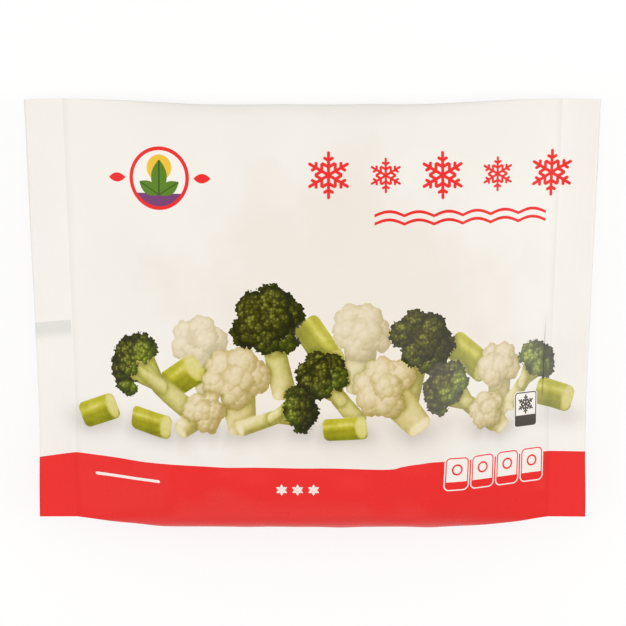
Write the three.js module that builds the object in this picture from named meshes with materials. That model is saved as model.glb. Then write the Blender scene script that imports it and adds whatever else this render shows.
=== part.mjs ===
// A shut pillow bag of frozen vegetables, lying on its back with the printed face up.
// Millimetres, +Z up. X runs from one end seal to the other and +Y points to the top of the bag.
// The origin is on the table, under the middle of the bag.
import * as THREE from "three";

// Plan of the bag
const bagWidth = 251; // over both end seals, along the top edge
const bagHeight = 185.5; // from the bottom fold to the top fold, at the end seals
const sealWidth = 16; // each flat end seal
const drawnIn = 4.6; // how far each end seal is pulled in where the bag is full
const bottomBulge = 3.6; // how far the full bottom pushes out between the end seals
const topDip = 3.2; // how far the top edge drops between the end seals

// Filling
const fullDepth = 45; // thickness at the bottom, where the vegetables have settled
const topDepth = 17; // thickness just under the top edge
const fullShare = 0.32; // share of the height that is filled to the full depth
const seamShare = 0.42; // height of the end seals, as a share of the local thickness
const fillRounding = 0.1; // how softly the full part starts to taper
const bellySag = 1.3; // how far the belly would hang below the table if nothing held it
const lowerRamp = 46; // width of the slope from an end seal to the level middle, at the bottom
const upperRamp = 60; // the same at the top
const rampRounding = 0.22; // how softly the slopes meet the level middle
const frontSquareness = 6; // how tightly the front turns at its folds
const backSquareness = 4;

// Film
const filmThickness = 0.8; // two layers, welded in the end seals
const lowerLift = 0.5; // how far the free edge of an end seal curls up, at the bottom
const upperLift = 6; // the same at the top
const liftPower = 1.5; // above 1 the curl gathers towards the free edge

// Mesh
const columns = 44;
const rows = 38;
const sealColumns = 2; // columns that each end seal takes

const clamp01 = (value) => Math.min(1, Math.max(0, value));
const mix = (from, to, share) => from + (to - from) * share;

// The lower of two values, rounded off where they meet.
function softMin(a, b, rounding) {
  const share = clamp01(0.5 + (0.5 * (b - a)) / rounding);
  return mix(b, a, share) - rounding * share * (1 - share);
}

// 1 from the bottom up to fullShare, then falling evenly to 0 at the top.
function fillAt(height) {
  return softMin((1 - height) / (1 - fullShare), 1, fillRounding);
}

const depthAt = (height) => mix(topDepth, fullDepth, fillAt(height));
const seamHeightAt = (height) => seamShare * depthAt(height);
const halfWidthAt = (height) => bagWidth / 2 - drawnIn * fillAt(height);

// 0 at an end seal and 1 over the level middle.
function spanAt(distanceFromSeal, height) {
  const ramp = mix(lowerRamp, upperRamp, height * height);
  return Math.max(0, softMin(distanceFromSeal / ramp, 1, rampRounding));
}

// 1 in the middle and 0 at both folds, where it turns down steeply.
const turnAt = (across, squareness) => Math.sqrt(Math.max(0, 1 - Math.abs(across) ** squareness));

// A point of the bag's skin: u and v run from -1 to 1 over the flat bag, and side is 1 in front, -1 behind.
function skinPoint(u, v, side) {
  const across = Math.sin((v * Math.PI) / 2); // rows crowd towards the folds
  const height = (across + 1) / 2;
  const sealStart = 1 - (2 * sealColumns) / columns;
  const outer = halfWidthAt(height);
  const inner = outer - sealWidth;
  const inSeal = clamp01((Math.abs(u) - sealStart) / (1 - sealStart));
  const inBody = Math.min(1, Math.abs(u) / sealStart);
  const fromMiddle = inSeal > 0 ? mix(inner, outer, inSeal) : inner * inBody;
  const span = spanAt(inner - fromMiddle, height);
  const y = mix(-bagHeight / 2 - bottomBulge * span, bagHeight / 2 - topDip * span, height);

  const seam = seamHeightAt(height);
  const middle = seam + mix(lowerLift, upperLift, height) * inSeal ** liftPower;
  const front = (depthAt(height) - seam) * span * turnAt(across, frontSquareness);
  const back = seam * bellySag * span * turnAt(across, backSquareness);
  const z = side > 0 ? middle + filmThickness / 2 + front : Math.max(0, middle - filmThickness / 2 - back);
  return [Math.sign(u) * fromMiddle, y, z];
}

// A unit box with one layer in depth is wrapped into the bag, so that it stays one closed skin.
function bagGeometry() {
  const geometry = new THREE.BoxGeometry(2, 2, 2, columns, rows, 1);
  const position = geometry.getAttribute("position");
  for (let i = 0; i < position.count; i++) {
    position.setXYZ(i, ...skinPoint(position.getX(i), position.getY(i), position.getZ(i)));
  }
  geometry.computeVertexNormals();
  return geometry;
}

const film = new THREE.MeshStandardMaterial({ color: 0xf0ebe3, roughness: 0.4, metalness: 0 });

const bag = new THREE.Mesh(bagGeometry(), film);
bag.name = "bag";
bag.position.y = bottomBulge / 2; // the bulge at the bottom moves the middle of the outline

const part = new THREE.Group();
part.name = "frozen_vegetable_bag";
part.add(bag);

export default part;
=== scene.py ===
import math
import random

import bpy
import numpy as np
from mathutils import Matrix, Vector


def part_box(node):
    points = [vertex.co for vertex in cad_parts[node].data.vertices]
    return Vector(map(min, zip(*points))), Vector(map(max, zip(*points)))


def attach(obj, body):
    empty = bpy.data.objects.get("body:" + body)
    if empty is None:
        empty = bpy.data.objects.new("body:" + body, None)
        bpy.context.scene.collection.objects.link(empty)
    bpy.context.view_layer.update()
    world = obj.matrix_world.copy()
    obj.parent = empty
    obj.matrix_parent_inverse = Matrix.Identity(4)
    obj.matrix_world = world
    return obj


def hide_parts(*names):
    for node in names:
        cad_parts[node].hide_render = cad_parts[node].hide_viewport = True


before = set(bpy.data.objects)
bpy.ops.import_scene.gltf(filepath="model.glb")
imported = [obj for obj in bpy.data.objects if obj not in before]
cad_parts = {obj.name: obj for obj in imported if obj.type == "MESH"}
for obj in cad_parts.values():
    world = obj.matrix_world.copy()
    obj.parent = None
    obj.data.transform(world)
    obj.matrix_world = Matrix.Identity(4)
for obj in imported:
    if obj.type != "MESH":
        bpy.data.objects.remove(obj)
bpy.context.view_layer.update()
bpy.ops.object.select_all(action="DESELECT")
mm = 0.001
print("frame loaded")


# Camera, stage and light

cameraSettings = {
    "distance": 1.0,  # metres
    "lean": 10,  # degrees from straight above, towards the top edge of the bag
    "lens": 2266,  # focal length in pixels of the picture
    "picture": 626,  # pixels
    "middle": (312.5, 314.2),  # pixel where the middle of the bag shows
    "aimHeight": 15 * mm,
}


def makeCamera(settings):
    lean = math.radians(settings["lean"])
    back = Vector((0, math.sin(lean), math.cos(lean)))
    up = Vector((0, math.cos(lean), -math.sin(lean)))
    pixel = settings["distance"] / settings["lens"]
    right = settings["picture"] / 2 - settings["middle"][0]
    raised = settings["middle"][1] - settings["picture"] / 2
    aim = Vector((right * pixel, 0, settings["aimHeight"])) + up * raised * pixel
    bpy.ops.object.camera_add(location=aim + back * settings["distance"], rotation=(-lean, 0, 0))
    camera = bpy.context.object
    camera.name = "photoCamera"
    camera.data.lens = settings["lens"] / settings["picture"] * camera.data.sensor_width
    camera.data.clip_start = 0.01
    bpy.context.scene.camera = camera


lightSettings = {
    "sky": (1.0, 0.985, 0.965),
    "skyStrength": 0.495,
    # place, size, watts
    "boxes": {
        "leftBox": ((-0.75, 0.10, 0.50), 0.8, 2.15),
        "rightBox": ((0.72, 0.05, 0.53), 0.5, 2.2),
        "topBox": ((0.0, 0.95, 0.65), 1.0, 2.45),
        "frontBox": ((-0.1, -0.8, 0.24), 0.45, 0.6),
        "cornerBox": ((-0.62, -0.5, 0.38), 0.45, 0.4),
        "overheadBox": ((0.0, -0.25, 1.3), 0.9, 1.9),
    },
    "aim": (0, 0, 0.02),
    "tone": (1.0, 0.985, 0.965),
    "floor": (0.26, 0.26, 0.26),
    "floorRoughness": 0.9,
    "floorSpecular": 0.1,
    "floorGlow": 0.75,  # the white sheet is lit from below too
    "floorCast": 0.44,  # how much of that glow reaches the bag
}


def makeLights(settings):
    world = bpy.data.worlds.new("paleStudio")
    world.use_nodes = True
    background = world.node_tree.nodes["Background"]
    background.inputs["Color"].default_value = (*settings["sky"], 1)
    background.inputs["Strength"].default_value = settings["skyStrength"]
    bpy.context.scene.world = world
    for name, (place, size, watts) in settings["boxes"].items():
        bpy.ops.object.light_add(type="AREA", location=place)
        box = bpy.context.object
        box.name = name
        box.rotation_euler = (Vector(settings["aim"]) - Vector(place)).to_track_quat("-Z", "Y").to_euler()
        box.data.size = size
        box.data.energy = watts
        box.data.color = settings["tone"]


def makeFloor(settings):
    bpy.ops.mesh.primitive_plane_add(size=6, location=(0, 0, 0))
    floor = bpy.context.object
    floor.name = "floor"
    paper = bpy.data.materials.new("studioPaper")
    paper.use_nodes = True
    shader = paper.node_tree.nodes["Principled BSDF"]
    shader.inputs["Base Color"].default_value = (*settings["floor"], 1)
    shader.inputs["Roughness"].default_value = settings["floorRoughness"]
    shader.inputs["Specular IOR Level"].default_value = settings["floorSpecular"]
    shader.inputs["Emission Color"].default_value = (1, 1, 1, 1)
    path = paper.node_tree.nodes.new("ShaderNodeLightPath")
    glow = paper.node_tree.nodes.new("ShaderNodeMapRange")
    glow.inputs["To Min"].default_value = settings["floorCast"]
    glow.inputs["To Max"].default_value = settings["floorGlow"]
    paper.node_tree.links.new(path.outputs["Is Camera Ray"], glow.inputs["Value"])
    paper.node_tree.links.new(glow.outputs["Result"], shader.inputs["Emission Strength"])
    floor.data.materials.append(paper)


bpy.context.scene.view_settings.view_transform = "Standard"
makeCamera(cameraSettings)
makeLights(lightSettings)
makeFloor(lightSettings)
print("camera, lights and floor made")


# Small helpers

def mix(low, high, share):
    return low + (high - low) * share


def smooth(start, end, value):
    share = np.clip((value - start) / (end - start), 0, 1)
    return share * share * (3 - 2 * share)


# The lower of two values, rounded off where they meet
def softMin(a, b, rounding):
    share = np.clip(0.5 + 0.5 * (b - a) / rounding, 0, 1)
    return mix(b, a, share) - rounding * share * (1 - share)


# The printed heap of vegetables. It is put together like a small relief, from balls, bars and blocks,
# and kept on the film's points: the distance to the edge of each kind of piece, and its light and tone.
# All lengths are millimetres on the flat film, from the middle of the bag.

heapSettings = {
    "seed": 11,
    "towardsLight": (-0.50, 0.62, 0.60),
    "dark": 0.16,  # light on a side that is turned away
    "contactReach": 3.2,  # soft shadow of a piece on those behind it
    "contactDepth": 0.62,
    "blur": 0.8,  # how softly a piece takes over from the one behind it
    "farAway": 30.0,  # distance where there is no piece
    "lightShares": (0.36, 0.34, 0.30),  # of the bud's own light, of its lobe's and of the whole head's
    "lobeSpread": (0.85, 1.15),
    "budSpread": (0.8, 1.2),
    "budCap": 1.6,  # how far round a lobe its buds go, in radians
    "budSink": 0.7,  # share of a bud's size that lies within its lobe
    "coreSink": 0.2,  # how far the core is moved to the top of its head, as a share of the radius
    "coreShade": 0.45,
    "groundY": -48,
    "groundHeight": 7.0,  # how far above and below that the shadow on the ground goes
    "groundReach": 14.0,  # how far it goes from a piece
    "groundDepth": 0.42,
}

# How each kind of vegetable is built. Its head has lobes and each lobe has buds. Sizes are shares of
# the head's radius, or of a lobe's for buds.
vegetables = {
    "broccoli": {
        "kind": "crown",
        "lobes": 11,
        "buds": 13,
        "lobeSize": 0.4,
        "budSize": 0.36,
        "lobeValley": 0.55,  # how dark the gaps between lobes are
        "valley": 0.5,  # and those between buds
        "core": 0.62,  # size of the shaded core
        "behind": -0.1,  # buds further back than this lie behind the stalk
        "fork": 0.85,  # how far behind the head's middle the branches start
        "stalk": (0.62, 0.56),  # widths at its start and end
        "stalkTones": (0.8, 0.6),
        "branches": 9,
        "branch": (0.4, 0.2),  # the same for a branch
        "branchCap": 0.9,  # how far round they go, as a share of the head's cap
        "tips": (0.0, 0.4),  # tones at their ends, by chance
        "reach": 0.72,  # how far from the head's middle they end
        "shortest": 0.6,  # branches that look shorter than this aren't drawn
    },
    "cauliflower": {
        "kind": "curd",
        "cap": 1.75,  # how far round a head its lobes go, in radians
        "lobes": 9,
        "buds": 8,
        "lobeSize": 0.44,
        "budSize": 0.46,
        "lobeValley": 0.42,
        "valley": 0.2,
        "core": 0.6,
        "behind": 0,
        "fork": 0.6,
        "stalk": (0.8, 1.0),
        "stalkTones": (1.0, 1.0),
        "branches": 5,
        "branch": (0.45, 0.5),
        "branchCap": 1.3 / 1.75,
        "reach": 0.6,
        "shortest": 0,
    },
}

# From back to front. lean turns a head's top towards the viewer and cap is how far round a head of
# broccoli its lobes go, both in degrees. fresh makes a crown paler and fade thins a piece out. Pieces
# at the back are faded in the print; on those to the right, fade and fresh paint the lamps' sheen on the
# film.
heap = [
    dict(make="cauliflower", head=(-49, -9), radius=13, foot=(-44, -30), lean=35, fade=0.3),
    dict(make="cauliflower", head=(21, -5), radius=14, foot=(20, -28), lean=35, fade=0.25),
    dict(make="broccoli", head=(-19, 0), radius=17, foot=(-12, -30), lean=46, cap=100, fade=0),
    dict(make="chunk", at=(3, -9), half=(12, 6.4), turn=-52, fade=0.05),
    dict(make="chunk", at=(69, -15), half=(11.5, 6.3), turn=-36, fade=0.1),
    dict(make="broccoli", head=(47, -9), radius=15.5, foot=(40, -37), lean=38, cap=98, fade=0.05),
    dict(make="cauliflower", head=(84, -21), radius=11.5, foot=(84, -40), lean=30, fade=0.2),
    dict(make="broccoli", head=(102, -21), radius=11, foot=(89, -38), lean=6, cap=88, fade=0.12, fresh=0.35),
    dict(make="chunk", at=(-58, -24), half=(12, 6.4), turn=38, fade=0),
    dict(make="broccoli", head=(-77, -20), radius=15, foot=(-50, -39), lean=-12, cap=86, fade=0),
    dict(make="broccoli", head=(5, -24), radius=13, foot=(20, -42), lean=24, cap=92, fade=0),
    dict(make="cauliflower", head=(-33, -24), radius=15, foot=(-30, -45), lean=38, fade=0),
    dict(make="chunk", at=(112, -35), half=(9, 6), turn=-14, fade=0.1),
    dict(make="cauliflower", head=(32, -28), radius=14.5, foot=(46, -44), lean=34, fade=0),
    dict(make="broccoli", head=(60, -29), radius=13, foot=(82, -45), lean=8, cap=90, fade=0.1, fresh=0.12),
    dict(make="chunk", at=(-98, -41), half=(10, 5.8), turn=24, fade=0),
    dict(make="cauliflower", head=(78, -39), radius=9.5, foot=(86, -47), lean=40, fade=0.1),
    dict(make="broccoli", head=(-8, -37), radius=11, foot=(-31, -45), lean=10, cap=86, fade=0),
    dict(make="cauliflower", head=(-47, -38), radius=9.5, foot=(-57, -46), lean=40, fade=0),
    dict(make="chunk", at=(-71, -43.5), half=(10, 5.2), turn=-8, fade=0),
    dict(make="chunk", at=(14, -45), half=(9.5, 4.8), turn=6, fade=0),
]


def unit(direction):
    return np.asarray(direction, float) / np.linalg.norm(direction)


def lightOn(nx, ny, nz):
    light = unit(heapSettings["towardsLight"])
    facing = np.clip(nx * light[0] + ny * light[1] + nz * light[2], 0, 1)
    return mix(heapSettings["dark"], 1.0, facing)


# Light on a round thing, from a point's place on it as a share of its radius
def lightOnBall(x, y):
    return lightOn(x, y, np.sqrt(np.maximum(0, 1.1 - x**2 - y**2)))


# The material paints the kinds in this order, so a piece cuts those painted after it by a margin less
# than its own edge, and those painted before it run on a little way under it.
paintOrder = ("stalk", "chunk", "curd", "crown")
overlap = {"stalk": 0.0, "chunk": 0.0, "curd": 0.35, "crown": 0.6}
underlap = 1.2


# Puts a piece over what is there. Its distance is below 0 inside it.
def stamp(paper, kind, distance, light, tone, fade, contact=1.0):
    near = np.clip(1 - distance / heapSettings["contactReach"], 0, 1)
    paper["light"] *= 1 - heapSettings["contactDepth"] * contact * near**2
    inside = smooth(heapSettings["blur"], 0, distance)
    paper["light"] = mix(paper["light"], light, inside)
    paper["tone"] = mix(paper["tone"], tone, inside)
    paper["fade"] = mix(paper["fade"], fade, inside)
    for place, other in enumerate(paintOrder):
        if other == kind:
            paper[other] = np.minimum(paper[other], distance)
        else:
            margin = underlap if place < paintOrder.index(kind) else overlap[other]
            paper[other] = np.maximum(paper[other], -distance - margin)


# A head of buds on lobes
def stampBuds(paper, look, buds, head, radius, fade):
    if not buds:
        return
    x, y = paper["x"], paper["y"]
    shape = np.full_like(x, heapSettings["farAway"])
    top = np.full_like(x, -heapSettings["farAway"])
    light = np.zeros_like(x)
    tone = np.zeros_like(x)
    whole = lightOnBall((x - head[0]) / radius, (y - head[1]) / radius)
    ofBud, ofLobe, ofWhole = heapSettings["lightShares"]
    for bud in buds:
        dx, dy = x - bud["at"][0], y - bud["at"][1]
        apart = np.hypot(dx, dy) / bud["size"]
        shape = np.minimum(shape, (apart - 1) * bud["size"])
        rise = bud["size"] * np.sqrt(np.maximum(0, 1 - apart**2))
        over = (apart < 1 + heapSettings["blur"] / bud["size"]) & (bud["at"][2] + rise > top)
        top = np.where(over, bud["at"][2] + rise, top)
        lobeX = (x - bud["lobe"][0]) / bud["lobeSize"]
        lobeY = (y - bud["lobe"][1]) / bud["lobeSize"]
        own = lightOnBall(dx / bud["size"], dy / bud["size"])
        lit = ofBud * own + ofLobe * lightOnBall(lobeX, lobeY) + ofWhole * whole
        lit = lit * (1 - look["valley"] * smooth(0.5, 1.05, apart))
        lobeGap = look["lobeValley"] * smooth(0.62, 1.12, np.hypot(lobeX, lobeY))
        lit = bud["shade"] * lit * (1 - lobeGap)
        light = np.where(over, lit, light)
        tone = np.where(over, bud["rim"], tone)
    stamp(paper, look["kind"], shape, light, tone, fade)


# A straight round bar. widths and tones are those at its start and end. Its start is cut off square,
# with a pale face, or it grows out of another bar.
def stampBar(paper, start, end, widths, tones, fade, cut=False):
    x, y = paper["x"], paper["y"]
    run = np.subtract(end[:2], start[:2])
    length = max(np.linalg.norm(run), 1e-6)
    run = run / length
    dx, dy = x - start[0], y - start[1]
    along = dx * run[0] + dy * run[1]
    share = np.clip(along / length, 0, 1)
    aside = dy * run[0] - dx * run[1]
    half = mix(widths[0], widths[1], share) / 2
    distance = np.hypot(aside, along - share * length) - half
    side = np.clip(aside / half, -1, 1)
    light = lightOn(-run[1] * side, run[0] * side, np.sqrt(1 - side**2))
    light = light * (1 + 0.06 * np.sin(4.5 * side + 2.5 * share + start[0]))
    tone = mix(tones[0], tones[1], smooth(0.1, 0.7, share))
    if cut:
        wide = widths[0] / 2
        deep = wide * 0.42  # the cut face is seen from aside
        oval = np.hypot(along / deep, aside / wide) - 1
        distance = np.maximum(distance, np.minimum(-along, oval * deep))
        face = smooth(0.12, -0.12, oval)
        light = mix(light, 0.92 - 0.16 * smooth(-0.5, 0, oval), face)
        tone = mix(tone, 1.0, face)
    stamp(paper, "stalk", distance, light, tone, fade, contact=1.0 if cut else 0.3)


goldenAngle = 2.39996


# Directions spread evenly over a cap around an axis, each with 0 at its pole and 1 at its rim
def capDirections(axis, count, widest, draw):
    first = unit(np.cross(axis, (0.13, 0.21, 0.97)))
    second = np.cross(axis, first)
    directions = []
    for number in range(count):
        polar = widest * math.sqrt((number + 0.5) / count)
        turn = number * goldenAngle + draw.uniform(-0.25, 0.25)
        out = math.cos(turn) * first + math.sin(turn) * second
        directions.append((math.cos(polar) * axis + math.sin(polar) * out, polar / widest))
    return directions


def headOf(piece, look, widest, draw):
    lean = math.radians(piece["lean"])
    up = unit(np.subtract(piece["head"], piece["foot"]))
    axis = np.array((up[0] * math.cos(lean), up[1] * math.cos(lean), math.sin(lean)))
    head = np.array((*piece["head"], 0.0))
    buds = []
    for direction, rim in capDirections(axis, look["lobes"], widest, draw):
        lobeSize = piece["radius"] * look["lobeSize"] * draw.uniform(*heapSettings["lobeSpread"])
        lobe = head + direction * (piece["radius"] - lobeSize)
        for budDirection, budRim in capDirections(direction, look["buds"], heapSettings["budCap"], draw):
            size = lobeSize * look["budSize"] * draw.uniform(*heapSettings["budSpread"])
            at = lobe + budDirection * (lobeSize - size * heapSettings["budSink"])
            # buds turned to the rim of the head are paler
            level = 0.75 * rim + 0.35 * budRim * np.dot(budDirection, -axis) + piece.get("fresh", 0)
            level = np.clip(level, 0, 1)
            buds.append(dict(at=at, size=size, rim=level, lobe=lobe, lobeSize=lobeSize, shade=1.0))
    if piece["lean"] > 0:
        # a shaded core closes the gaps between the lobes
        size = piece["radius"] * look["core"]
        core = head + axis * piece["radius"] * heapSettings["coreSink"]
        shade = heapSettings["coreShade"]
        buds.append(dict(at=core, size=size, rim=0.3, lobe=core, lobeSize=size * 1.4, shade=shade))
    buds.sort(key=lambda bud: bud["at"][2] + bud["size"] * bud["shade"])
    return axis, head, buds


# A head of broccoli or cauliflower on its stalk, which shows in front of the buds at the back
def floret(paper, piece, draw):
    radius, fade, look = piece["radius"], piece["fade"], vegetables[piece["make"]]
    widest = math.radians(piece["cap"]) if "cap" in piece else look["cap"]
    axis, head, buds = headOf(piece, look, widest, draw)
    back = [bud for bud in buds if bud["at"][2] < look["behind"] * radius]
    front = [bud for bud in buds if bud["at"][2] >= look["behind"] * radius]
    stampBuds(paper, look, back, head, radius, fade)
    foot = (*piece["foot"], 0)
    fork = head - axis * radius * look["fork"]
    first, last = look["stalkTones"]
    widths = [radius * share for share in look["stalk"]]
    stampBar(paper, foot, fork, widths, (first, last), fade, cut=True)
    widths = [radius * share for share in look["branch"]]
    directions = capDirections(axis, look["branches"], widest * look["branchCap"], draw)
    for direction, _ in sorted(directions, key=lambda pair: pair[0][2]):
        tip = head + direction * radius * look["reach"]
        tones = (last, draw.uniform(*look["tips"]) if "tips" in look else last)
        if math.dist(fork[:2], tip[:2]) > look["shortest"] * radius:
            stampBar(paper, fork, tip, widths, tones, fade)
    stampBuds(paper, look, front, head, radius, fade)


# A cut length of stalk, with a shine along it. Its far face is a paler oval.
def chunk(paper, piece, draw):
    turn = math.radians(piece["turn"])
    halfX, halfY = piece["half"]
    dx, dy = paper["x"] - piece["at"][0], paper["y"] - piece["at"][1]
    localX = dx * math.cos(turn) + dy * math.sin(turn)
    localY = dy * math.cos(turn) - dx * math.sin(turn)
    corner = halfY * 0.5
    overX = np.abs(localX) - halfX + corner
    overY = np.abs(localY + 0.05 * localX) - halfY + corner
    distance = np.hypot(np.maximum(overX, 0), np.maximum(overY, 0))
    distance = distance + np.minimum(np.maximum(overX, overY), 0)
    side = np.clip(localY / halfY, -1, 1)
    shine = np.exp(-(((localY - 0.38 * halfY) / (0.2 * halfY)) ** 2))
    ripple = 0.05 * np.sin(localX * 0.5 + piece["at"][0]) + 0.035 * np.sin(localY * 2.1)
    light = 0.42 + 0.26 * side + 0.34 * shine + ripple
    oval = np.hypot((localX - 0.74 * halfX) / (0.3 * halfX), localY / halfY) - 1
    face = smooth(0.06, -0.06, oval)
    light = mix(light, 0.74 + 0.08 * side - 0.2 * smooth(-0.4, 0, oval), face)
    stamp(paper, "chunk", distance - corner, light, face, piece["fade"])


# Which points a piece and its shadows can reach
def pointsNear(paper, piece):
    marks = [piece[key] for key in ("head", "foot", "at") if key in piece]
    size = piece["radius"] if "radius" in piece else max(piece["half"])
    room = heapSettings["groundReach"] + 1.2 * size
    near = np.ones(len(paper["x"]), bool)
    for label, spots in zip(("x", "y"), zip(*marks)):
        near &= (paper[label] > min(spots) - room) & (paper[label] < max(spots) + room)
    return np.flatnonzero(near)


def heapOn(flat):
    x, y = flat[:, 0], flat[:, 1]
    paper = {"x": x.copy(), "y": y.copy()}
    paper.update(light=np.ones_like(x), tone=np.zeros_like(x), fade=np.zeros_like(x))
    for kind in paintOrder:
        paper[kind] = np.full_like(x, heapSettings["farAway"])
    draw = random.Random(heapSettings["seed"])
    for piece in heap:
        near = pointsNear(paper, piece)
        area = {label: values[near] for label, values in paper.items()}
        make = floret if piece["make"] in vegetables else chunk
        make(area, piece, draw)
        for label, values in area.items():
            paper[label][near] = values
    nearest = np.maximum(0, np.min([paper[kind] for kind in paintOrder], axis=0))
    low = np.exp(-(((y - heapSettings["groundY"]) / heapSettings["groundHeight"]) ** 2))
    near = np.clip(1 - nearest / heapSettings["groundReach"], 0, 1) ** 2
    ground = 1 - heapSettings["groundDepth"] * low * near
    print("heap drawn:", len(heap), "pieces")
    return {
        "heapEdges": np.stack((paper["crown"], paper["curd"], paper["stalk"]), axis=-1),
        "heapLook": np.stack((paper["light"], paper["tone"], paper["fade"]), axis=-1),
        "heapMore": np.stack((paper["chunk"], ground, np.zeros_like(x)), axis=-1),
    }


# Shape of the filled bag, as the frame has it. X runs from seal to seal and Y to the top edge.

boxLow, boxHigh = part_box("bag")

bag = {
    "width": boxHigh.x - boxLow.x,
    "height": 185.5 * mm,
    "sealWidth": 16 * mm,
    "drawnIn": 4.6 * mm,
    "bottomBulge": 3.6 * mm,
    "topDip": 3.2 * mm,
    "fullDepth": 45 * mm,
    "topDepth": 17 * mm,
    "fullShare": 0.32,
    "seamShare": 0.42,
    "fillRounding": 0.1,
    "bellySag": 1.3,
    "lowerRamp": 46 * mm,
    "upperRamp": 60 * mm,
    "rampRounding": 0.22,
    "frontSquareness": 6,
    "backSquareness": 4,
    "thickness": 0.4 * mm,
    "lowerLift": 0.5 * mm,
    "upperLift": 6 * mm,
    "liftPower": 1.5,
    "sealArc": 110.7 * mm,  # where the end seals start, measured along the film
}

# Both numbers of columns are even, because the back has every second column of the front.
mesh = {
    "bodyColumns": 288,
    "sealColumns": 14,  # in each end seal
    "finRows": 7,
    "fineRows": 0.66 * mm,  # spacing of rows over the printed picture
    "coarseRows": 1.3 * mm,
    "fineFrom": -52 * mm,
    "fineTo": 19 * mm,
}


# Places of the bag's skin. along runs from -1 to 1 over the body and on to 2 over an end seal,
# across from -1 at the bottom fold to 1 at the top one.
def skinPlaces(along, across, front):
    height = (across + 1) / 2
    fill = softMin((1 - height) / (1 - bag["fullShare"]), 1, bag["fillRounding"])
    depth = mix(bag["topDepth"], bag["fullDepth"], fill)
    seam = bag["seamShare"] * depth
    outer = bag["width"] / 2 - bag["drawnIn"] * fill
    inner = outer - bag["sealWidth"]
    inSeal = np.clip(np.abs(along) - 1, 0, 1)
    fromMiddle = inner * np.minimum(1, np.abs(along)) + bag["sealWidth"] * inSeal
    slope = mix(bag["lowerRamp"], bag["upperRamp"], height * height)
    span = np.maximum(0, softMin((inner - fromMiddle) / slope, 1, bag["rampRounding"]))
    bottom = -bag["height"] / 2 - bag["bottomBulge"] * span
    top = bag["height"] / 2 - bag["topDip"] * span
    x = np.sign(along) * fromMiddle
    y = mix(bottom, top, height) + bag["bottomBulge"] / 2
    middle = seam + mix(bag["lowerLift"], bag["upperLift"], height) * inSeal ** bag["liftPower"]
    if front:
        turn = np.sqrt(np.maximum(0, 1 - np.abs(across) ** bag["frontSquareness"]))
        z = middle + bag["thickness"] / 2 + (depth - seam) * span * turn
    else:
        turn = np.sqrt(np.maximum(0, 1 - np.abs(across) ** bag["backSquareness"]))
        z = middle - bag["thickness"] / 2 - seam * bag["bellySag"] * span * turn
    return x, y, z, span, turn


# Rows from the bottom fold to the top one, closer together over the printed picture
def rowPlaces():
    fine = np.linspace(-1, 1, 4001)
    profile = bag["fullDepth"] / 2 * np.sqrt(1 - np.abs(fine) ** bag["frontSquareness"])
    steps = np.hypot(np.diff(fine * bag["height"] / 2), np.diff(profile))
    middles = (fine[1:] + fine[:-1]) / 2 * bag["height"] / 2
    pictured = (middles > mesh["fineFrom"]) & (middles < mesh["fineTo"])
    spacing = np.where(pictured, mesh["fineRows"], mesh["coarseRows"])
    count = np.concatenate([[0], np.cumsum(steps / spacing)])
    return np.interp(np.linspace(0, count[-1], 2 * round(count[-1] / 2) + 1), count, fine)


# Relief of the film over its filling

relief = {
    "seed": 5,
    "lumpPitch": 21 * mm,
    "lumpRadius": 9 * mm,
    "lumpHeight": 1.3 * mm,
    "lumpStray": 0.28,  # how far a lump is off its place in the lattice, as a share of the pitch
    "lumpRows": 5,  # to either side of the middle
    "lumpColumns": 7,
    "backShare": 0.5,  # of that relief on the back, which lies pressed on the table
    "lowerFoldLump": 0.6 * mm,
    "upperFoldLump": 0.3 * mm,
    "foldPush": 0.5 * mm,  # how far the filling pushes both folds out
    "foldBand": 0.2,  # how far in from a fold that goes
    "cornerPush": 0.9 * mm,  # more at the ends of the lower fold
    "sealFlare": 0.8 * mm,  # how far the end seals spread at the bottom
    "slackWaves": 14,
    "slackShort": 22 * mm,
    "slackLong": 70 * mm,
    "slackHeight": 0.42 * mm,
    "puckerReach": 17 * mm,
    "puckerHeight": 0.3 * mm,
    # lengths of the waves in the puckers and in the end seals
    "rightPuckers": (8.3 * mm, 11.7 * mm, 19 * mm),
    "leftPuckers": (9.1 * mm, 12.9 * mm, 17 * mm),
    "sealWave": 0.7 * mm,
    "rightWaves": (61 * mm, 38 * mm, 94 * mm),
    "leftWaves": (54 * mm, 43 * mm, 101 * mm),
    "creaseX": 107.1 * mm,  # pinched fold beside the right seal
    "creaseLean": 0.01,
    "creaseFrom": -37 * mm,
    "creaseTo": 3 * mm,
    "creaseFade": 8 * mm,  # at each of its ends
    "creaseWidth": 0.9 * mm,
    "creaseDepth": 0.6 * mm,
    "clearance": 0.05 * mm,  # under the level part of the back
    "finLevel": -8.3 * mm,  # middle of the fin seal on the back, measured at the end seals
    "finWidth": 9 * mm,
    "finRise": 0.43 * mm,
    "finThickness": 0.3 * mm,
    "finPressed": 0.1 * mm,  # its thickness in the end seals
    "finPressedOver": 4 * mm,
    "finBed": (0.75, 0.5),  # edge of its bed, as shares of its width from its middle
    "finGap": 0.08 * mm,
    "finStep": 0.25 * mm,  # step that it presses into the left seal
}


# A smooth uneven value along a line, from waves of these lengths
def waves(place, lengths, seed):
    draw = random.Random(seed)
    total = 0
    for length in lengths:
        total = total + np.sin(place * (2 * math.pi / length) + draw.uniform(0, 2 * math.pi))
    return total / len(lengths)


# The same over a surface
def slackAt(x, y, seed):
    draw = random.Random(seed)
    total = 0
    for _ in range(relief["slackWaves"]):
        length = draw.uniform(relief["slackShort"], relief["slackLong"])
        turn = draw.uniform(0, math.pi)
        place = (x * math.cos(turn) + y * math.sin(turn)) * 2 * math.pi / length
        total = total + np.sin(place + draw.uniform(0, 2 * math.pi))
    return total / math.sqrt(relief["slackWaves"])


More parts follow.
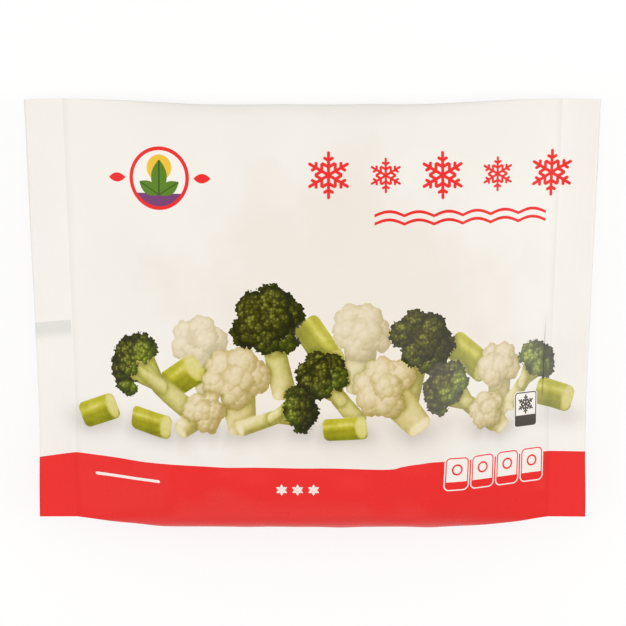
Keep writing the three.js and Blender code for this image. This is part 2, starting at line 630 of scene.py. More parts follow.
# Frozen pieces that press on the film from inside, strewn on an uneven lattice
def lumpsAt(x, y, seed):
    draw = random.Random(seed)
    pitch, stray = relief["lumpPitch"], relief["lumpStray"]
    total = np.zeros_like(x)
    for row in range(-relief["lumpRows"], relief["lumpRows"] + 1):
        for column in range(-relief["lumpColumns"], relief["lumpColumns"] + 1):
            centreX = (column + 0.5 * (row % 2) + draw.uniform(-stray, stray)) * pitch
            centreY = (row + draw.uniform(-stray, stray)) * pitch * 0.87
            radius = relief["lumpRadius"] * draw.uniform(0.75, 1.25)
            height = draw.uniform(0.4, 1.0)
            apart = ((x - centreX) ** 2 + (y - centreY) ** 2) / radius**2
            total = total + height * np.exp(-apart)
    return total


def reliefAt(x, y, arc, covered, front):
    seed = relief["seed"] + (0 if front else 100)
    fromSeal = np.maximum(0, bag["sealArc"] - np.abs(arc))
    filled = smooth(0.1, 0.75, covered)
    bump = relief["lumpHeight"] * lumpsAt(x, y, seed) * filled
    bump = bump + relief["slackHeight"] * slackAt(x, y, seed + 3) * filled
    right = waves(y, relief["rightPuckers"], seed + 1)
    left = waves(y, relief["leftPuckers"], seed + 2)
    pucker = np.where(x > 0, right, left) * relief["puckerHeight"]
    bump = bump + pucker * np.exp(-fromSeal / relief["puckerReach"]) * smooth(0, 3 * mm, fromSeal)
    if front:
        fade = relief["creaseFade"]
        ends = smooth(0, fade, y - relief["creaseFrom"]) * smooth(0, fade, relief["creaseTo"] - y)
        offCrease = arc - relief["creaseX"] - relief["creaseLean"] * y
        groove = np.exp(-((offCrease / relief["creaseWidth"]) ** 2))
        bump = bump - relief["creaseDepth"] * groove * ends
    return bump


# How far a place is from the middle of the fin seal, as a share of its width
def offFin(across):
    return np.abs(across * bag["height"] / 2 - relief["finLevel"]) / relief["finWidth"]


# How far an end seal swings up or down, on both of its faces alike
def sealSwing(x, y, across, inSeal):
    right = waves(y, relief["rightWaves"], relief["seed"] + 11)
    left = waves(y, relief["leftWaves"], relief["seed"] + 12)
    swing = relief["sealWave"] * np.where(x > 0, right, left) * inSeal**1.5
    onFin = smooth(0.56, 0.44, offFin(across)) * np.where(x < 0, inSeal > 0, 0)
    return swing + relief["finStep"] * onFin


def sheet(columns, rows, front):
    along, across = np.meshgrid(columns, rows)
    x, y, z, span, turn = skinPlaces(along, across, front)
    arc = np.cumsum(np.hypot(np.diff(x), np.diff(z)), axis=1)
    arc = np.concatenate([np.zeros((len(rows), 1)), arc], axis=1)
    arc = arc - arc[:, len(columns) // 2][:, None]
    # the film is as long from seal to seal in every row, with its slack in the puckers
    reach = np.abs(arc)
    edge = reach[:, np.isclose(columns, 1)]
    flatReach = np.where(reach > edge, reach - edge + bag["sealArc"], reach * bag["sealArc"] / edge)
    arc = np.sign(arc) * flatReach
    inSeal = np.clip(np.abs(along) - 1, 0, 1)
    bump = reliefAt(x, y, arc, span * turn, front)
    z = z + sealSwing(x, y, across, inSeal)
    if front:
        z = z + bump
    else:
        # the film makes way for its fin seal
        under = smooth(*relief["finBed"], offFin(across))
        z = z - bump * relief["backShare"]
        z = np.maximum(mix(relief["clearance"], relief["finRise"], under), z)
    # the filling presses on the folds too
    lump = np.where(across < 0, relief["lowerFoldLump"], relief["upperFoldLump"])
    push = lump * (lumpsAt(x, z, relief["seed"] + 20) - 0.5) * span
    push = push + relief["foldPush"] * smooth(0, 0.4, span)
    corner = np.where(across < 0, np.where(x > 0, 1, 0.5), 0)
    push = push + relief["cornerPush"] * 4 * span * (1 - span) * corner
    push = push * smooth(1 - relief["foldBand"], 1, np.abs(across))
    flare = relief["sealFlare"] * smooth(0.6, 1, -across) * inSeal
    return {"x": x + np.sign(x) * flare, "y": y + np.sign(across) * push, "z": z, "arc": arc}


# Numbers of a sheet's points, in rows
def gridOf(size, first):
    return first + np.arange(size[0] * size[1]).reshape(size)


def sheetFaces(index, outward):
    corners = [index[:-1, :-1], index[:-1, 1:], index[1:, 1:], index[1:, :-1]]
    faces = np.stack(corners, axis=-1).reshape(-1, 4)
    return faces if outward else faces[:, ::-1]


def rimOf(index):
    return np.concatenate([index[0, :-1], index[:-1, -1], index[-1, :0:-1], index[:0:-1, 0]])


# One closed skin from two sheets of points, joined around their rims. The lower one has the same
# points as the upper one or every second of them.
def makeSkin(name, upper, lower):
    both = (upper, lower)
    upperGrid = gridOf(upper["x"].shape, 0)
    lowerGrid = gridOf(lower["x"].shape, upperGrid.size)

    def listed(*labels):
        return np.concatenate([np.stack([s[label].ravel() for label in labels], axis=-1) for s in both])

    places, flat = listed("x", "y", "z"), listed("arc", "y")
    upperRim, lowerRim = rimOf(upperGrid), rimOf(lowerGrid)
    stride = len(upperRim) // len(lowerRim)
    rimSides = [lowerRim, np.roll(lowerRim, -1)]
    rimSides += [np.roll(upperRim, -behind)[::stride] for behind in range(stride, -1, -1)]
    above = sheetFaces(upperGrid, True).tolist()
    rim = np.stack(rimSides, axis=-1).tolist()
    below = sheetFaces(lowerGrid, False).tolist()
    faces = above + rim + below
    data = bpy.data.meshes.new(name)
    data.from_pydata(places.tolist(), [], faces)
    corners = np.empty(len(data.loops), np.int32)
    data.loops.foreach_get("vertex_index", corners)
    data.uv_layers.new(name="filmFlat").data.foreach_set("uv", flat[corners].ravel())
    rounded = np.ones(len(faces), bool)
    rounded[len(above):len(above) + len(rim)] = False
    data.polygons.foreach_set("use_smooth", rounded)
    piece = bpy.data.objects.new(name, data)
    bpy.context.scene.collection.objects.link(piece)
    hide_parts("bag")
    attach(piece, "root")
    data.calc_loop_triangles()
    print(name, "made:", len(places), "points,", len(data.loop_triangles), "triangles")
    return piece, flat


def columnPlaces():
    body = np.linspace(-1, 1, mesh["bodyColumns"] + 1)
    seal = np.linspace(0, 1, mesh["sealColumns"] + 1)[1:]
    return np.concatenate([-1 - seal[::-1], body, 1 + seal])


# The bag, with the heap kept on the points of its front and the back in its own material
def makeFilm(front, back):
    columns, rows = columnPlaces(), rowPlaces()
    frontSheet = sheet(columns, rows, True)
    backSheet = sheet(columns[::2], rows[::2], False)
    bagFilm, flat = makeSkin("bagFilm", frontSheet, backSheet)
    data = bagFilm.data
    count = frontSheet["x"].size
    for name, values in heapOn(flat[:count] / mm).items():
        padded = np.full((len(flat), 3), heapSettings["farAway"])
        padded[:count] = values
        data.attributes.new(name, "FLOAT_VECTOR", "POINT").data.foreach_set("vector", padded.ravel())
    backFaces = (backSheet["x"].shape[0] - 1) * (backSheet["x"].shape[1] - 1)
    sides = np.zeros(len(data.polygons), np.int32)
    sides[-backFaces:] = 1
    data.materials.append(front)
    data.materials.append(back)
    data.polygons.foreach_set("material_index", sides)
    data.update()


# The fin seal lies flat against the back, from one end seal to the other.
def makeFin(back):
    half = relief["finWidth"] / 2
    rows = np.linspace(relief["finLevel"] - half, relief["finLevel"] + half, mesh["finRows"])
    upper = sheet(columnPlaces()[2:-2:2], rows / (bag["height"] / 2), False)
    upper["z"] = upper["z"] - relief["finGap"]
    pressed = smooth(bag["sealArc"] - relief["finPressedOver"], bag["sealArc"], np.abs(upper["arc"]))
    lower = dict(upper, z=upper["z"] - mix(relief["finThickness"], relief["finPressed"], pressed))
    finSeal, _ = makeSkin("finSeal", upper, lower)
    finSeal.data.materials.append(back)


# Node helpers

def plug(tree, value, socket):
    if isinstance(value, bpy.types.NodeSocket):
        tree.links.new(value, socket)
    elif isinstance(value, tuple) and len(value) == 2:
        socket.default_value = (*value, 0)
    else:
        socket.default_value = value


# A new shader node with its settings, and values or sockets for its first inputs
def add(tree, kind, *values, **settings):
    node = tree.nodes.new("ShaderNode" + kind)
    for label, value in settings.items():
        setattr(node, label, value)
    for value, socket in zip(values, node.inputs):
        plug(tree, value, socket)
    return node


def calc(tree, operation, *values, clamp=False):
    return add(tree, "Math", *values, operation=operation, use_clamp=clamp).outputs[0]


# All of the values multiplied
def times(tree, first, *others):
    for value in others:
        first = calc(tree, "MULTIPLY", first, value)
    return first


# A value times a factor, plus an offset
def scaled(tree, value, factor, offset):
    return calc(tree, "MULTIPLY_ADD", value, factor, offset)


def vector(tree, operation, *values, scale=None):
    node = add(tree, "VectorMath", *values, operation=operation)
    if scale is not None:
        plug(tree, scale, node.inputs["Scale"])
    single = operation in ("LENGTH", "DISTANCE", "DOT_PRODUCT")
    return node.outputs["Value" if single else "Vector"]


# Inputs and output of a Mix node for numbers and for colours
mixSockets = {"FLOAT": (2, 3, 0), "RGBA": (6, 7, 2)}


def blend(tree, kind, share, low, high):
    node = add(tree, "Mix", share, data_type=kind)
    first, second, result = mixSockets[kind]
    plug(tree, low, node.inputs[first])
    plug(tree, high, node.inputs[second])
    return node.outputs[result]


# Runs smoothly from 0 at start to 1 at end
def step(tree, value, start, end):
    return add(tree, "MapRange", value, start, end, interpolation_type="SMOOTHSTEP").outputs["Result"]


# A colour as it looks, each part from 0 to 255
def ink(*levels):
    shares = [level / 255 for level in levels]
    return (*[s / 12.92 if s <= 0.04045 else ((s + 0.055) / 1.055) ** 2.4 for s in shares], 1)


# Each stop is its place from 0 to 1 and its ink.
def ramp(tree, value, stops):
    node = add(tree, "ValToRGB", value)
    elements = node.color_ramp.elements
    while len(elements) < len(stops):
        elements.new(0.5)
    for element, (place, *levels) in zip(elements, stops):
        element.position = place
        element.color = ink(*levels)
    return node.outputs["Color"]


def cells(tree, place, size, unevenness):
    node = add(tree, "TexVoronoi", place, voronoi_dimensions="2D")
    node.inputs["Scale"].default_value = 1 / size
    node.inputs["Randomness"].default_value = unevenness
    return node.outputs


def clouds(tree, place, size, detail=2.0):
    node = add(tree, "TexNoise", place, noise_dimensions="2D")
    node.inputs["Scale"].default_value = 1 / size
    node.inputs["Detail"].default_value = detail
    return node.outputs


def parts(tree, place):
    return tuple(add(tree, "SeparateXYZ", place).outputs)


def joined(tree, x, y, z=0.0):
    return add(tree, "CombineXYZ", x, y, z).outputs[0]


def turned(tree, place, centre, angle):
    node = add(tree, "VectorRotate", vector(tree, "SUBTRACT", place, centre), rotation_type="Z_AXIS")
    plug(tree, times(tree, angle, -1), node.inputs["Angle"])
    return node.outputs[0]


socketTypes = {"float": "NodeSocketFloat", "vector": "NodeSocketVector", "colour": "NodeSocketColor"}


# A new shader group: its tree, its inputs by name, and a function that sets its outputs
def newGroup(name, inputs, outputs):
    tree = bpy.data.node_groups.new(name, "ShaderNodeTree")
    for inOut, sockets in (("INPUT", inputs), ("OUTPUT", outputs)):
        for label, kind in sockets.items():
            tree.interface.new_socket(name=label, in_out=inOut, socket_type=socketTypes[kind])
    given = tree.nodes.new("NodeGroupInput").outputs
    result = tree.nodes.new("NodeGroupOutput").inputs

    def put(**values):
        for label, value in values.items():
            plug(tree, value, result[label])

    return tree, given, put


def use(tree, group, **values):
    node = add(tree, "Group", node_tree=group)
    for label, value in values.items():
        plug(tree, value, node.inputs[label])
    return node.outputs


# Shapes of the print. Every Place is in millimetres on the flat film, from the middle of the bag.

def strokeGroup():
    inputs = {"Place": "vector", "Start": "vector", "End": "vector", "Width": "float"}
    tree, given, put = newGroup("printStroke", inputs, {"Mask": "float"})
    run = vector(tree, "SUBTRACT", given["End"], given["Start"])
    fromStart = vector(tree, "SUBTRACT", given["Place"], given["Start"])
    length = vector(tree, "DOT_PRODUCT", run, run)
    share = calc(tree, "DIVIDE", vector(tree, "DOT_PRODUCT", fromStart, run), length, clamp=True)
    nearest = vector(tree, "SCALE", run, scale=share)
    away = vector(tree, "DISTANCE", fromStart, nearest)
    put(Mask=calc(tree, "LESS_THAN", away, times(tree, given["Width"], 0.5)))
    return tree


# A rectangle with round corners. Distance is below 0 inside it.
def blockGroup():
    inputs = {"Place": "vector", "Centre": "vector", "Half": "vector", "Corner": "float"}
    tree, given, put = newGroup("printBlock", inputs, {"Distance": "float"})
    local = vector(tree, "ABSOLUTE", vector(tree, "SUBTRACT", given["Place"], given["Centre"]))
    inner = vector(tree, "SUBTRACT", given["Half"], joined(tree, given["Corner"], given["Corner"]))
    overX, overY, _ = parts(tree, vector(tree, "SUBTRACT", local, inner))
    outX = calc(tree, "MAXIMUM", overX, 0)
    outY = calc(tree, "MAXIMUM", overY, 0)
    outside = vector(tree, "LENGTH", joined(tree, outX, outY))
    inside = calc(tree, "MINIMUM", calc(tree, "MAXIMUM", overX, overY), 0)
    put(Distance=calc(tree, "SUBTRACT", calc(tree, "ADD", outside, inside), given["Corner"]))
    return tree


flakeBranches = ((0.36, 0.30), (0.66, 0.20))  # start along the arm and length, in radii


def flakeGroup():
    inputs = {"Place": "vector", "Centre": "vector", "Radius": "float", "Stroke": "float"}
    tree, given, put = newGroup("printFlake", inputs, {"Mask": "float"})
    local = vector(tree, "SUBTRACT", given["Place"], given["Centre"])
    x, y, _ = parts(tree, local)
    fold = calc(tree, "PINGPONG", calc(tree, "ARCTAN2", x, y), math.pi / 6)  # lays six arms on one
    distance = calc(tree, "DIVIDE", vector(tree, "LENGTH", local), given["Radius"])
    out = times(tree, distance, calc(tree, "COSINE", fold))
    aside = times(tree, distance, calc(tree, "SINE", fold))
    folded = joined(tree, out, aside)
    width = calc(tree, "DIVIDE", given["Stroke"], given["Radius"])
    mask = use(tree, groups["stroke"], Place=folded, Start=(0, 0), End=(1, 0), Width=width)["Mask"]
    for start, length in flakeBranches:
        end = (start + length * 0.5, length * 0.87)
        branch = use(tree, groups["stroke"], Place=folded, Start=(start, 0), End=end, Width=width)
        mask = calc(tree, "MAXIMUM", mask, branch["Mask"])
    put(Mask=mask)
    return tree


leafRib = 0.045  # half of the rib, in leaf widths


# A pointed leaf with its stalk end at Foot
def leafGroup():
    inputs = {"Place": "vector", "Foot": "vector", "Length": "float", "Width": "float", "Turn": "float"}
    tree, given, put = newGroup("printLeaf", inputs, {"Mask": "float", "Rib": "float"})
    x, y, _ = parts(tree, turned(tree, given["Place"], given["Foot"], given["Turn"]))
    share = calc(tree, "DIVIDE", x, given["Length"])
    bow = times(tree, share, calc(tree, "SUBTRACT", 1, share), 2)
    across = calc(tree, "DIVIDE", calc(tree, "ABSOLUTE", y), given["Width"])
    mask = calc(tree, "LESS_THAN", across, bow)
    put(Mask=mask, Rib=times(tree, mask, calc(tree, "LESS_THAN", across, leafRib)))
    return tree


# Inks of the heap

heapInk = {
    "bead": 1.35,  # size of a flower bud of broccoli
    "beadLight": (-1.0, 1.35),  # factor and offset for the distance from its middle
    "beadChance": (0.5, 0.75),  # the same for the light that falls to it by chance
    "knobs": (1.5, -0.55),  # and for what it adds to the edge of a crown
    "curdGrain": 1.9,
    "grainLight": (-0.14, 0.06),
    "ripples": (0.7, -0.3),
    "cellUnevenness": 0.9,
    "speckle": 1.8,
    "speckleLight": (0.26, -0.13),
    "rimTone": (0.45, 1.05),  # tones where the paler rim of a crown starts and is full
    "crown": [(0, 26, 27, 0), (0.35, 54, 54, 2), (0.7, 88, 88, 16), (1, 132, 136, 50)],
    "crownRim": [(0, 50, 58, 3), (0.45, 108, 126, 14), (1, 196, 206, 84)],
    "curd": [(0, 170, 148, 74), (0.35, 207, 189, 134), (0.7, 227, 211, 169), (1, 238, 225, 194)],
    "branch": [(0, 112, 118, 10), (0.45, 176, 178, 52), (0.8, 216, 208, 118), (1, 236, 226, 168)],
    "stem": [(0, 150, 134, 48), (0.45, 206, 192, 122), (0.8, 230, 216, 166), (1, 240, 230, 198)],
    "chunk": [(0, 104, 110, 4), (0.35, 156, 152, 14), (0.7, 196, 190, 50), (1, 232, 226, 140)],
    "chunkFace": [(0, 176, 168, 60), (0.6, 214, 204, 112), (1, 234, 226, 166)],
    "groundShadow": ink(150, 138, 130),
}


# Colours the heap. Edges, Look and More are the values kept on the film's points.
def heapGroup():
    inputs = {"Place": "vector", "Edges": "vector", "Look": "vector", "More": "vector", "Film": "colour"}
    tree, given, put = newGroup("printedHeap", inputs, {"Colour": "colour", "Ink": "float"})
    place = given["Place"]
    crownEdge, curdEdge, stalkEdge = parts(tree, given["Edges"])
    light, tone, fade = parts(tree, given["Look"])
    chunkEdge, ground, _ = parts(tree, given["More"])
    unevenness = heapInk["cellUnevenness"]

    def inked(name, value):
        return ramp(tree, value, heapInk[name])

    bead = cells(tree, place, heapInk["bead"], unevenness)
    beadLight = scaled(tree, bead["Distance"], *heapInk["beadLight"])
    chance = scaled(tree, parts(tree, bead["Color"])[0], *heapInk["beadChance"])
    crownLight = times(tree, light, times(tree, beadLight, chance))
    rimShare = step(tree, tone, *heapInk["rimTone"])
    crown = blend(tree, "RGBA", rimShare, inked("crown", crownLight), inked("crownRim", crownLight))

    grain = cells(tree, place, heapInk["curdGrain"], unevenness)
    speckle = scaled(tree, clouds(tree, place, heapInk["speckle"], 3.0)["Fac"], *heapInk["speckleLight"])
    grained = calc(tree, "ADD", light, scaled(tree, grain["Distance"], *heapInk["grainLight"]))
    curd = inked("curd", calc(tree, "ADD", grained, speckle))
    streaked = calc(tree, "ADD", light, speckle)
    stalk = blend(tree, "RGBA", tone, inked("branch", streaked), inked("stem", streaked))
    chunk = blend(tree, "RGBA", tone, inked("chunk", streaked), inked("chunkFace", streaked))

    crownEdge = calc(tree, "ADD", crownEdge, scaled(tree, bead["Distance"], *heapInk["knobs"]))
    curdEdge = calc(tree, "ADD", curdEdge, scaled(tree, grain["Distance"], *heapInk["ripples"]))
    paper = blend(tree, "RGBA", ground, heapInk["groundShadow"], given["Film"])
    colour = paper
    covered = 0.0
    layers = ((stalkEdge, stalk), (chunkEdge, chunk), (curdEdge, curd), (crownEdge, crown))
    for edge, look in layers:
        mask = calc(tree, "LESS_THAN", edge, 0)
        colour = blend(tree, "RGBA", mask, colour, look)
        covered = calc(tree, "MAXIMUM", covered, mask)
    # fade thins the heap out towards the film: paler pieces at the back, and a painted sheen on those to the
    # right
    put(Colour=blend(tree, "RGBA", fade, colour, paper), Ink=covered)
    return tree


# The rest of the print

printInk = {
    "red": ink(241, 50, 48),
    "white": ink(250, 246, 240),
    "leaf": ink(96, 134, 40),
    "darkLeaf": ink(58, 92, 28),
    "yellow": ink(244, 200, 66),
    "plum": ink(122, 70, 118),
    "grey": ink(84, 78, 72),
}

band = {
    "top": -61.5,  # where the red band starts, counted from the middle of the bag
    "half": 127,  # the band's edge is given over this length to either side
    "sway": 2,  # and strays by up to this much
    # places along the edge and how far it strays there, as shares of half and of sway
    "edge": [
        (-1, -0.85), (-0.87, 0.05), (-0.47, 0.05), (-0.24, -0.35), (0, -0.55), (0.24, -0.8),
        (0.3, -0.25), (0.37, 0.4), (0.46, 0.8), (0.87, 0.3), (1, 0.3),
    ],
    "sharpFrom": 0.8,  # beyond this share of half the edge runs straight from place to place
}

flakeRow = {"y": 62.5, "first": 7, "pitch": 25, "count": 5, "large": 9.5, "small": 7.0, "stroke": 0.145}
drift = {"y": 45.4, "start": 27, "end": 105, "wave": 13, "height": 1.8, "stroke": 1.3, "pitch": 3.5}
emblem = {
    "centre": (-67.5, 61),
    "radius": 13.5,
    "ring": 1.6,
    "sun": (-67.5, 65.5),
    "sunRadius": 5.6,
    "soilY": 54.6,
    "sproutDrop": 7,  # foot of the sprout below the centre
    # length, width, turn
    "leaves": [(10.5, 5.6, 0.55), (10.5, 5.6, math.pi - 0.55), (15, 7.2, math.pi / 2)],
    "sideLeaf": (15.4, 7.6, 4.0),  # distance from the middle, length, width
}
badge = {
    "centre": (98, -40.5),
    "half": (5.6, 7.6),
    "corner": 1.3,
    "margin": 0.4,  # white around its frame
    "line": 0.5,  # width of the frame
    "split": -43.1,  # filled below this
    "flakeY": -38.3,
    "flake": 4.0,
    "stroke": 0.7,
}
tiles = {
    "y": -65.8,
    "first": 63.3,
    "pitch": 12.8,
    "count": 4,
    "half": (5.5, 7.4),
    "corner": 2.2,
    "margin": 0.55,
    "line": 0.55,
    "split": -69.6,
    "ringY": -64.0,
    "ring": (2.6, 1.8),
}
bandFlakes = {"y": -72.8, "first": -13.5, "pitch": 7, "count": 3, "radius": 2.4, "stroke": 0.5}
bandRule = {"start": (-100, -69.8), "end": (-68, -69.8), "width": 1.3}


def bandGroup():
    tree, given, put = newGroup("redBand", {"Place": "vector"}, {"Mask": "float"})
    x, y, _ = parts(tree, given["Place"])
    node = tree.nodes.new("ShaderNodeFloatCurve")
    points = node.mapping.curves[0].points
    while len(points) < len(band["edge"]):
        points.new(0.5, 0.5)
    for point, (place, rise) in zip(points, band["edge"]):
        point.location = (place / 2 + 0.5, rise / 2 + 0.5)
        point.handle_type = "VECTOR" if abs(place) > band["sharpFrom"] else "AUTO_CLAMPED"
    node.mapping.update()
    plug(tree, scaled(tree, x, 0.5 / band["half"], 0.5), node.inputs["Value"])
    rise = scaled(tree, node.outputs["Value"], 2 * band["sway"], band["top"] - band["sway"])
    put(Mask=calc(tree, "LESS_THAN", y, rise))
    return tree


# The number of the nearest one in a row of like shapes
def nearestIn(tree, x, row):
    place = calc(tree, "DIVIDE", calc(tree, "SUBTRACT", x, row["first"]), row["pitch"])
    return calc(tree, "MINIMUM", calc(tree, "MAXIMUM", calc(tree, "ROUND", place), 0), row["count"] - 1)


def centreIn(tree, number, row, y):
    return joined(tree, scaled(tree, number, row["pitch"], row["first"]), y)


def frontPrintGroup():
    inputs = {"Place": "vector", "Heap": "colour", "HeapInk": "float"}
    tree, given, put = newGroup("frontPrint", inputs, {"Colour": "colour", "Ink": "float"})
    place = given["Place"]
    x, y, _ = parts(tree, place)
    colour = given["Heap"]
    inked = given["HeapInk"]

    def paint(mask, shade):
        nonlocal colour, inked
        colour = blend(tree, "RGBA", mask, colour, printInk[shade])
        inked = calc(tree, "MAXIMUM", inked, mask)

    def below(value, limit):
        return calc(tree, "LESS_THAN", value, limit)

    def above(value, limit):
        return calc(tree, "GREATER_THAN", value, limit)

    def paintFlake(centre, radius, stroke, shade):
        flake = use(tree, groups["flake"], Place=place, Centre=centre, Radius=radius, Stroke=stroke)
        paint(flake["Mask"], shade)

    def leafAt(foot, length, width, angle):
        return use(tree, groups["leaf"], Place=place, Foot=foot, Length=length, Width=width, Turn=angle)

    # a rounded frame with a white margin, white inside down to its split and filled under it
    def paintFrame(centre, look, shade):
        half, corner = look["half"], look["corner"]
        edge = use(tree, groups["block"], Place=place, Centre=centre, Half=half, Corner=corner)["Distance"]
        paint(below(edge, look["margin"]), "white")
        paint(below(edge, 0), shade)
        paint(times(tree, above(y, look["split"]), below(edge, -look["line"])), "white")

    paint(use(tree, groups["band"], Place=place)["Mask"], "red")

    # a row of snowflakes over a wavy line
    number = nearestIn(tree, x, flakeRow)
    radius = blend(tree, "FLOAT", calc(tree, "PINGPONG", number, 1), flakeRow["large"], flakeRow["small"])
    stroke = times(tree, radius, flakeRow["stroke"])
    paintFlake(centreIn(tree, number, flakeRow, flakeRow["y"]), radius, stroke, "red")
    turn = times(tree, calc(tree, "SUBTRACT", x, drift["start"]), math.pi / drift["wave"])
    crest = times(tree, calc(tree, "ABSOLUTE", calc(tree, "SINE", turn)), drift["height"])
    over = calc(tree, "SUBTRACT", calc(tree, "SUBTRACT", y, drift["y"]), crest)
    second = calc(tree, "ABSOLUTE", calc(tree, "ADD", over, drift["pitch"]))
    off = calc(tree, "MINIMUM", calc(tree, "ABSOLUTE", over), second)
    within = times(tree, above(x, drift["start"]), below(x, drift["end"]))
    paint(times(tree, within, below(off, drift["stroke"] / 2)), "red")

    # a sprout under the sun, in a ring with a red leaf on either side
    middleX, middleY = emblem["centre"]
    reach, length, width = emblem["sideLeaf"]
    for side, angle in ((-1, math.pi), (1, 0.0)):
        paint(leafAt((middleX + side * reach, middleY), length, width, angle)["Mask"], "red")
    away = vector(tree, "DISTANCE", place, (middleX, middleY, 0))
    paint(below(away, emblem["radius"]), "red")
    within = below(away, emblem["radius"] - emblem["ring"])
    paint(within, "white")
    paint(below(vector(tree, "DISTANCE", place, (*emblem["sun"], 0)), emblem["sunRadius"]), "yellow")
    paint(times(tree, within, below(y, emblem["soilY"])), "plum")
    for leafShape in emblem["leaves"]:
        leaf = leafAt((middleX, middleY - emblem["sproutDrop"]), *leafShape)
        paint(leaf["Mask"], "leaf")
        paint(leaf["Rib"], "darkLeaf")

    # a small badge beside the heap
    paintFrame(badge["centre"], badge, "grey")
    paintFlake((badge["centre"][0], badge["flakeY"]), badge["flake"], badge["stroke"], "grey")

    # four tiles with a ring in each
    number = nearestIn(tree, x, tiles)
    paintFrame(centreIn(tree, number, tiles, tiles["y"]), tiles, "red")
    away = vector(tree, "DISTANCE", place, centreIn(tree, number, tiles, tiles["ringY"]))
    for radius, shade in zip(tiles["ring"], ("red", "white")):
        paint(below(away, radius), shade)

    # small white marks on the band
    centre = centreIn(tree, nearestIn(tree, x, bandFlakes), bandFlakes, bandFlakes["y"])
    paintFlake(centre, bandFlakes["radius"], bandFlakes["stroke"], "white")
    start, end, width = bandRule["start"], bandRule["end"], bandRule["width"]
    paint(use(tree, groups["stroke"], Place=place, Start=start, End=end, Width=width)["Mask"], "white")
    put(Colour=colour, Ink=inked)
    return tree


# Film: slightly uneven in colour and gloss, with a fine orange peel. The end seals are ribbed.

film = {
    "white": ink(247, 244, 238),
    "seal": ink(249, 246, 241),
    "filled": ink(243, 236, 227),  # the filling shows through a little in the middle, with painted shade there too, where the side lamps light the face less than its slopes
    "filledMiddle": (12, -3),
    "filledHalf": (86, 76),
    "filledEdge": (0.5, 1.15),  # where that starts to go and is gone, in halves
    "cloudSize": 30.0,  # of the uneven edge that it has
    "cloudiness": 0.9,
    "fin": ink(229, 229, 224),  # grey patch where the fin seal lies behind the left end seal: its thicker layers showing through, with painted shade
    "finEdge": 3.4,  # its upper edge, counted at the middle of the bag
    "finLean": 0.05,
    "finSoft": (-0.3, 0.4),  # where it starts below that edge and is full
    "finGone": (9.0, 3.5),  # where it is gone, and where it is still full
    "finInset": 0.6,
    "broadSize": 38.0,  # of the clouds that make the colour uneven
    "unevenness": 0.04,
    "middleSize": 9.0,  # of those that make the gloss uneven
    "roughness": 0.34,
    "roughnessSpread": 0.12,
    "inkGloss": 0.05,
    "sealRoughness": 0.05,
    "peel": 0.9,  # millimetres between the dimples
    "peelDepth": 0.02,
    "ribPitch": 1.45,
    "ribDepth": 0.02,
    "bumpStrength": 0.6,
    "specular": 0.11,
    "coat": 0.04,
    "coatRoughness": 0.2,
    "creaseShade": 0.45,  # painted shade in the crease
    "creaseLine": (0.5, 0.1),  # distances where that starts and is full
    "creaseEnds": (4, 20),  # heights over its lower end where it is full and where it starts to fade
    "hollowShade": 0.05,  # painted shade in the hollow beside each end seal
    "hollow": (-3.5, -0.3),  # where that starts and is full, counted from the edge of the seal
}


# FinShade is 1 on the film that the fin seal lies behind, where its grey patch of painted shade shows, and 0
# on the film that carries it.
def whiteFilmGroup():
    tree, given, put = newGroup("whiteFilm", {"Place": "vector", "FinShade": "float"}, {"Colour": "colour"})
    place = given["Place"]
    x, y, _ = parts(tree, place)
    # darker, warmer film over the middle of the face: partly the filling showing through, partly painted
    # shade
    away = vector(tree, "SUBTRACT", place, film["filledMiddle"])
    away = vector(tree, "LENGTH", vector(tree, "DIVIDE", away, (*film["filledHalf"], 1)))
    cloud = clouds(tree, place, film["cloudSize"], 3.0)["Fac"]
    cloudy = scaled(tree, cloud, film["cloudiness"], -film["cloudiness"] / 2)
    outer = step(tree, calc(tree, "ADD", away, cloudy), *film["filledEdge"])
    colour = blend(tree, "RGBA", outer, film["filled"], film["white"])
    inSeal = calc(tree, "GREATER_THAN", calc(tree, "ABSOLUTE", x), bag["sealArc"] / mm)
    colour = blend(tree, "RGBA", inSeal, colour, film["seal"])
    # the fin seal's grey patch on the left end seal, partly painted shade
    below = calc(tree, "SUBTRACT", scaled(tree, x, film["finLean"], film["finEdge"]), y)
    started, kept = step(tree, below, *film["finSoft"]), step(tree, below, *film["finGone"])
    inLeftSeal = calc(tree, "LESS_THAN", x, -bag["sealArc"] / mm - film["finInset"])
    shown = times(tree, started, kept, inLeftSeal, given["FinShade"])
    put(Colour=blend(tree, "RGBA", shown, colour, film["fin"]))
    return tree


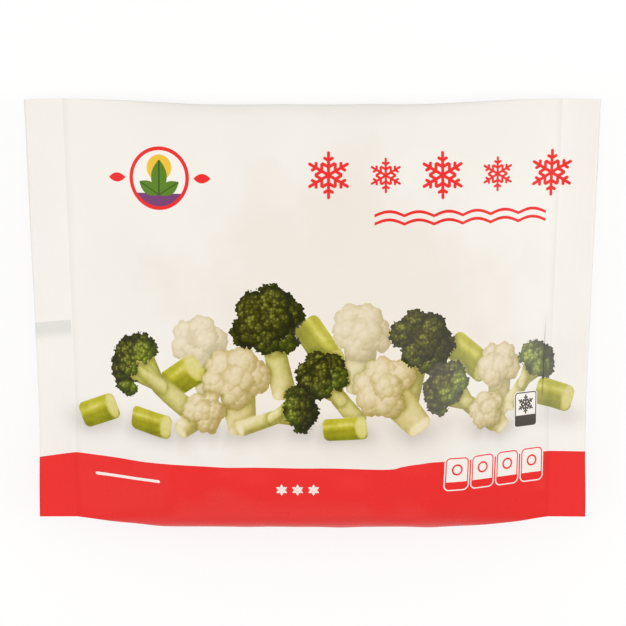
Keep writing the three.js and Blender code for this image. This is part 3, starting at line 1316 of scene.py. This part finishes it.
# Creased is 1 on the film that has the crease.
def filmGroup():
    inputs = {"Place": "vector", "Colour": "colour", "Ink": "float", "Creased": "float"}
    outputs = {"Colour": "colour", "Roughness": "float", "Height": "float"}
    tree, given, put = newGroup("filmSurface", inputs, outputs)
    place = given["Place"]
    x, y, _ = parts(tree, place)
    broad = clouds(tree, place, film["broadSize"], 3.0)["Fac"]
    middle = clouds(tree, place, film["middleSize"], 4.0)["Fac"]
    fine = clouds(tree, place, film["peel"])["Fac"]
    intoSeal = calc(tree, "SUBTRACT", calc(tree, "ABSOLUTE", x), bag["sealArc"] / mm)
    inSeal = calc(tree, "GREATER_THAN", intoSeal, 0)
    unevenness, spread = film["unevenness"], film["roughnessSpread"]

    # the shade of the crease fades towards both its ends
    lean = scaled(tree, y, relief["creaseLean"], relief["creaseX"] / mm)
    off = calc(tree, "ABSOLUTE", calc(tree, "SUBTRACT", x, lean))
    low, high = relief["creaseFrom"] / mm, relief["creaseTo"] / mm
    first, last = (low + rise for rise in film["creaseEnds"])
    along = times(tree, step(tree, y, low, first), step(tree, y, high, last))
    crease = times(tree, step(tree, off, *film["creaseLine"]), along, given["Creased"])

    # painted shade in the hollow beside each end seal
    hollow = calc(tree, "SUBTRACT", step(tree, intoSeal, *film["hollow"]), inSeal)
    shade = scaled(tree, broad, unevenness, 1 - unevenness / 2)
    # painted shade: the film's colour is darkened in the crease and in the hollow beside each end seal
    for mask, depth in ((crease, film["creaseShade"]), (hollow, film["hollowShade"])):
        shade = times(tree, shade, scaled(tree, mask, -depth, 1))
    roughness = scaled(tree, middle, spread, film["roughness"] - spread / 2)
    roughness = scaled(tree, given["Ink"], -film["inkGloss"], roughness)
    roughness = scaled(tree, inSeal, film["sealRoughness"], roughness)
    rib = calc(tree, "SINE", times(tree, intoSeal, 2 * math.pi / film["ribPitch"]))
    height = scaled(tree, fine, film["peelDepth"], times(tree, rib, inSeal, film["ribDepth"]))
    put(Colour=vector(tree, "SCALE", given["Colour"], scale=shade), Roughness=roughness, Height=height)
    return tree


groups = {}
groups["stroke"] = strokeGroup()
groups["block"] = blockGroup()
groups["flake"] = flakeGroup()
groups["leaf"] = leafGroup()
groups["heap"] = heapGroup()
groups["band"] = bandGroup()
groups["front"] = frontPrintGroup()
groups["film"] = filmGroup()
groups["white"] = whiteFilmGroup()
print("shader groups made:", len(groups))


def filmMaterial(name, printed):
    material = bpy.data.materials.new(name)
    material.use_nodes = True
    tree = material.node_tree
    shader = tree.nodes["Principled BSDF"]
    flat = add(tree, "UVMap", uv_map="filmFlat").outputs[0]
    place = vector(tree, "SCALE", flat, scale=1 / mm)
    isFront = 1.0 if printed else 0.0
    white = use(tree, groups["white"], Place=place, FinShade=isFront)["Colour"]
    if printed:
        kept = {}
        for label in ("Edges", "Look", "More"):
            kept[label] = add(tree, "Attribute", attribute_name="heap" + label).outputs["Vector"]
        heaped = use(tree, groups["heap"], Place=place, Film=white, **kept)
        outcome = use(tree, groups["front"], Place=place, Heap=heaped["Colour"], HeapInk=heaped["Ink"])
        colour, inked = outcome["Colour"], outcome["Ink"]
    else:
        inked = use(tree, groups["band"], Place=place)["Mask"]
        colour = blend(tree, "RGBA", inked, white, printInk["red"])
    surface = use(tree, groups["film"], Place=place, Colour=colour, Ink=inked, Creased=isFront)
    plug(tree, surface["Colour"], shader.inputs["Base Color"])
    plug(tree, surface["Roughness"], shader.inputs["Roughness"])
    bump = tree.nodes.new("ShaderNodeBump")
    bump.inputs["Distance"].default_value = mm
    bump.inputs["Strength"].default_value = film["bumpStrength"]
    plug(tree, surface["Height"], bump.inputs["Height"])
    plug(tree, bump.outputs[0], shader.inputs["Normal"])
    shader.inputs["Specular IOR Level"].default_value = film["specular"]
    shader.inputs["Coat Weight"].default_value = film["coat"]
    shader.inputs["Coat Roughness"].default_value = film["coatRoughness"]
    return material


backFilm = filmMaterial("backFilm", False)
makeFilm(filmMaterial("frontFilm", True), backFilm)
makeFin(backFilm)
